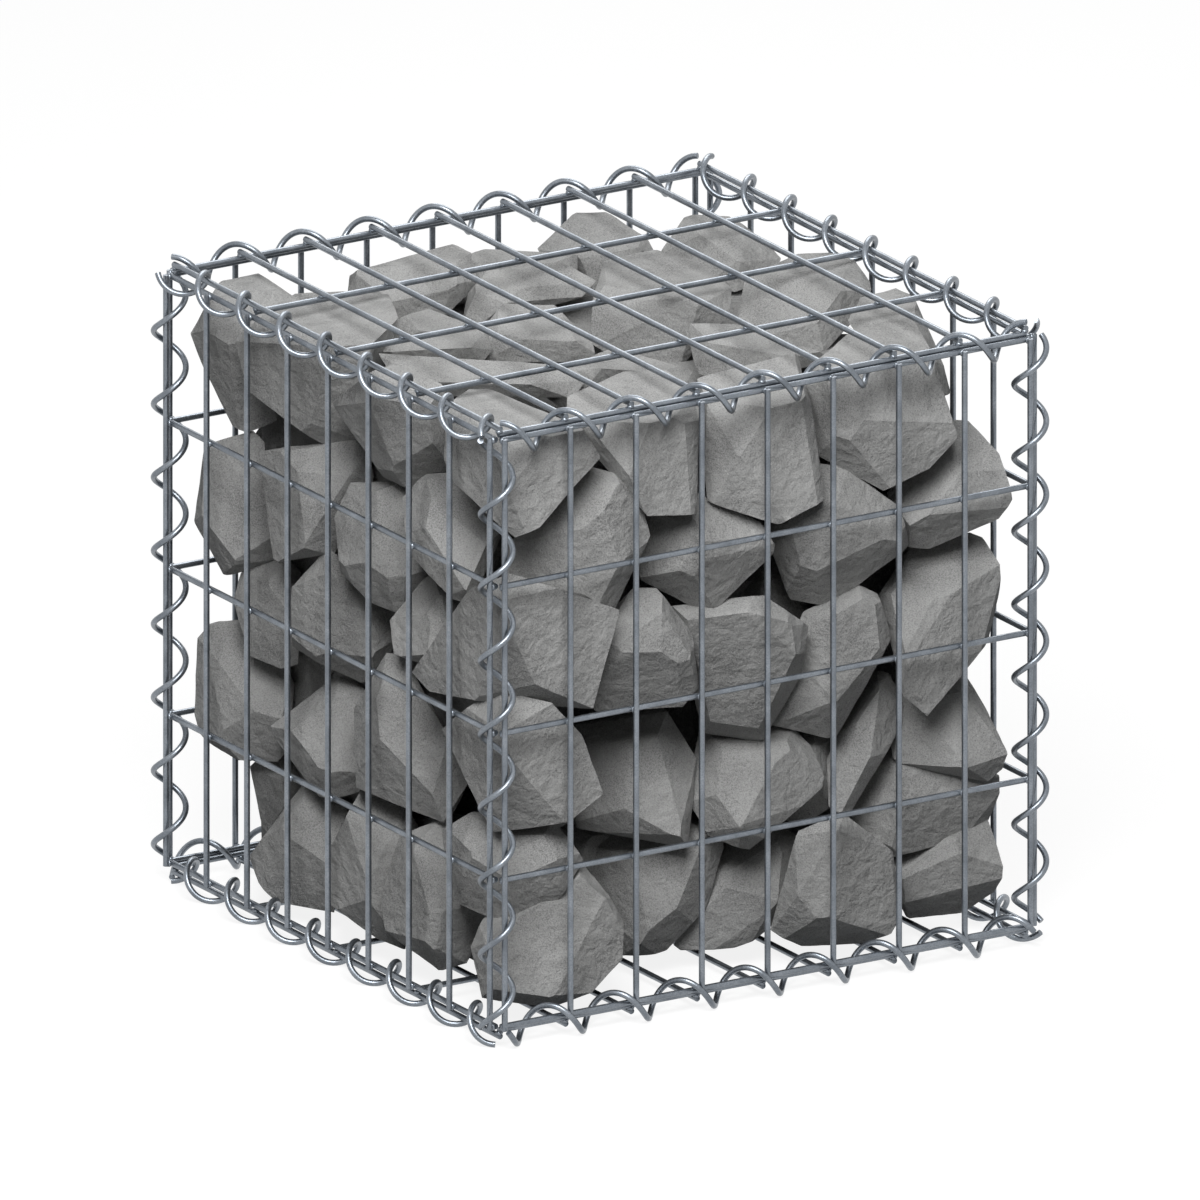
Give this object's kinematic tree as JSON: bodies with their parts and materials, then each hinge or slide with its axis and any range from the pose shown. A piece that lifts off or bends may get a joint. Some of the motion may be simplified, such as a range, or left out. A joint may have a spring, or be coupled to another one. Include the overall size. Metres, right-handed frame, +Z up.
{
  "type": "gabion basket",
  "caption": "Cube-shaped gabion basket of welded wire mesh, laced along every edge with spiral binders and filled with broken stone; one bay of a gabion wall.",
  "frame": {"origin": "centre of the basket's plan, at floor level under the base spirals", "axes": "+X along the front panel to the right, +Y from the front panel to the back panel, +Z up"},
  "size_m": [0.4308, 0.4308, 0.4297],
  "materials": {
    "mesh_wire": "satin",
    "spiral_wire": "satin",
    "stone": "matte"
  },
  "bodies": {
    "root": {"base_panel": "mesh_wire", "front_panel": "mesh_wire", "right_panel": "mesh_wire", "back_panel": "mesh_wire", "left_panel": "mesh_wire", "lid_panel": "mesh_wire", "base_front_spiral": "spiral_wire", "base_right_spiral": "spiral_wire", "base_back_spiral": "spiral_wire", "base_left_spiral": "spiral_wire", "front_left_spiral": "spiral_wire", "front_right_spiral": "spiral_wire", "back_right_spiral": "spiral_wire", "back_left_spiral": "spiral_wire", "lid_front_spiral": "spiral_wire", "lid_right_spiral": "spiral_wire", "lid_back_spiral": "spiral_wire", "lid_left_spiral": "spiral_wire", "stone_course_1": "stone", "stone_course_2": "stone", "stone_course_3": "stone", "stone_course_4": "stone", "stone_course_5": "stone"}
  },
  "joints": []
}
